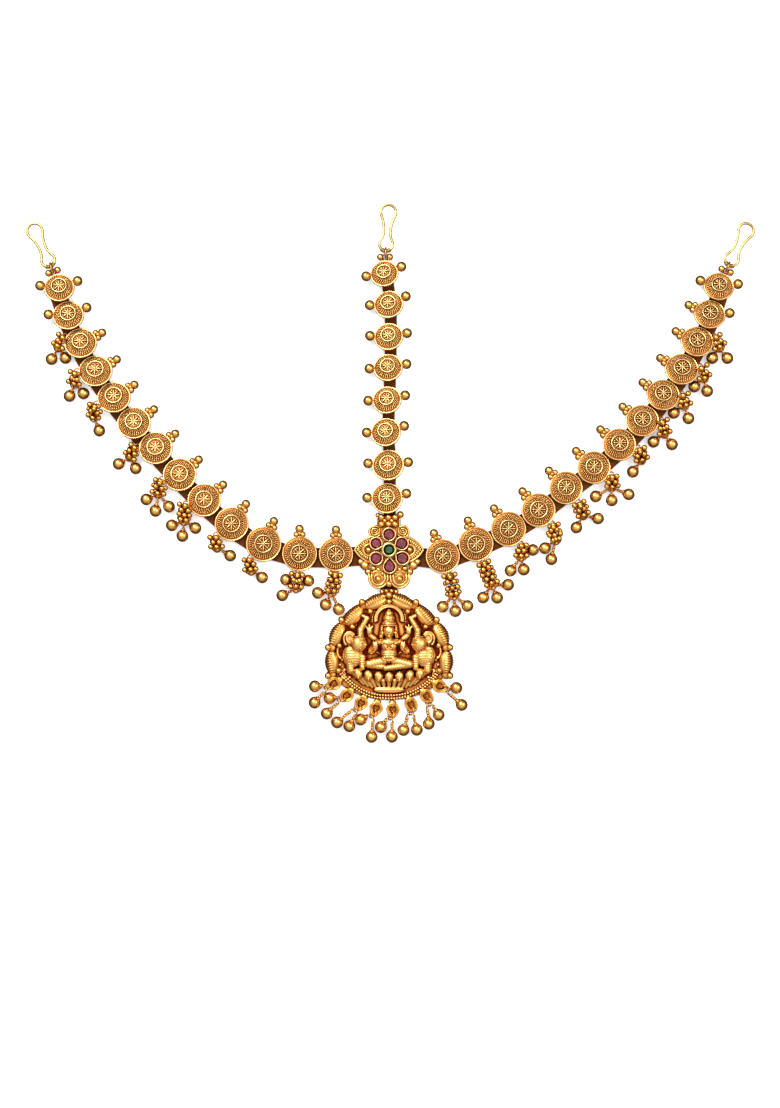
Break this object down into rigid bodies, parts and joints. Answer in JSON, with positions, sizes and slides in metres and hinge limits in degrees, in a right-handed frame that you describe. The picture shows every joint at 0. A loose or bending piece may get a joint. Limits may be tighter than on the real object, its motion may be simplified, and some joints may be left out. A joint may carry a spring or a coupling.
{
  "type": "matha patti",
  "caption": "Bridal head ornament in antique gold: two curved arms and a centre strip of granulated discs, a stone-set flower medallion and a cast pendant with ball drops.",
  "frame": {"origin": "centre of the flower medallion on its flat back, at the level of the surface it lies on", "axes": "+X to the right in the picture, +Y up along the centre strip towards the crown of the head, +Z out of the decorated face"},
  "size_m": [0.2556, 0.189, 0.0083],
  "materials": {
    "disc_gold": "antique matte gold with bright raised grains",
    "cast_gold": "cast antique gold, reddish brown in the recesses",
    "ball_gold": "satin gold",
    "wire_gold": "satin antique gold",
    "back_gold": "dull reddish brown antique plate",
    "hook_gold": "plain polished pale gold",
    "ruby": "cut red stone",
    "emerald": "cut green stone"
  },
  "bodies": {
    "root": {"disc_left_13": "disc_gold", "disc_left_12": "disc_gold", "disc_left_11": "disc_gold", "disc_left_10": "disc_gold", "disc_left_09": "disc_gold", "disc_left_08": "disc_gold", "disc_left_07": "disc_gold", "disc_left_06": "disc_gold", "disc_left_05": "disc_gold", "disc_left_04": "disc_gold", "disc_left_03": "disc_gold", "disc_left_02": "disc_gold", "disc_left_01": "disc_gold", "disc_right_13": "disc_gold", "disc_right_12": "disc_gold", "disc_right_11": "disc_gold", "disc_right_10": "disc_gold", "disc_right_09": "disc_gold", "disc_right_08": "disc_gold", "disc_right_07": "disc_gold", "disc_right_06": "disc_gold", "disc_right_05": "disc_gold", "disc_right_04": "disc_gold", "disc_right_03": "disc_gold", "disc_right_02": "disc_gold", "disc_right_01": "disc_gold", "disc_centre_08": "disc_gold", "disc_centre_07": "disc_gold", "disc_centre_06": "disc_gold", "disc_centre_05": "disc_gold", "disc_centre_04": "disc_gold", "disc_centre_03": "disc_gold", "disc_centre_02": "disc_gold", "disc_centre_01": "disc_gold", "ruby_top": "ruby", "ruby_upper_left": "ruby", "ruby_upper_right": "ruby", "ruby_lower_left": "ruby", "ruby_lower_right": "ruby", "ruby_bottom": "ruby", "emerald": "emerald", "medallion": "cast_gold", "pendant": "cast_gold", "hook_left": "hook_gold", "hook_right": "hook_gold", "hook_centre": "hook_gold", "plates_left": "back_gold", "plates_right": "back_gold", "plates_centre": "back_gold", "pendant_plate": "back_gold", "hook_rings": "wire_gold", "clusters_left": "wire_gold", "clusters_right": "wire_gold", "pendant_rings": "wire_gold", "balls_left": "ball_gold", "balls_right": "ball_gold", "pendant_balls": "ball_gold"}
  },
  "joints": []
}
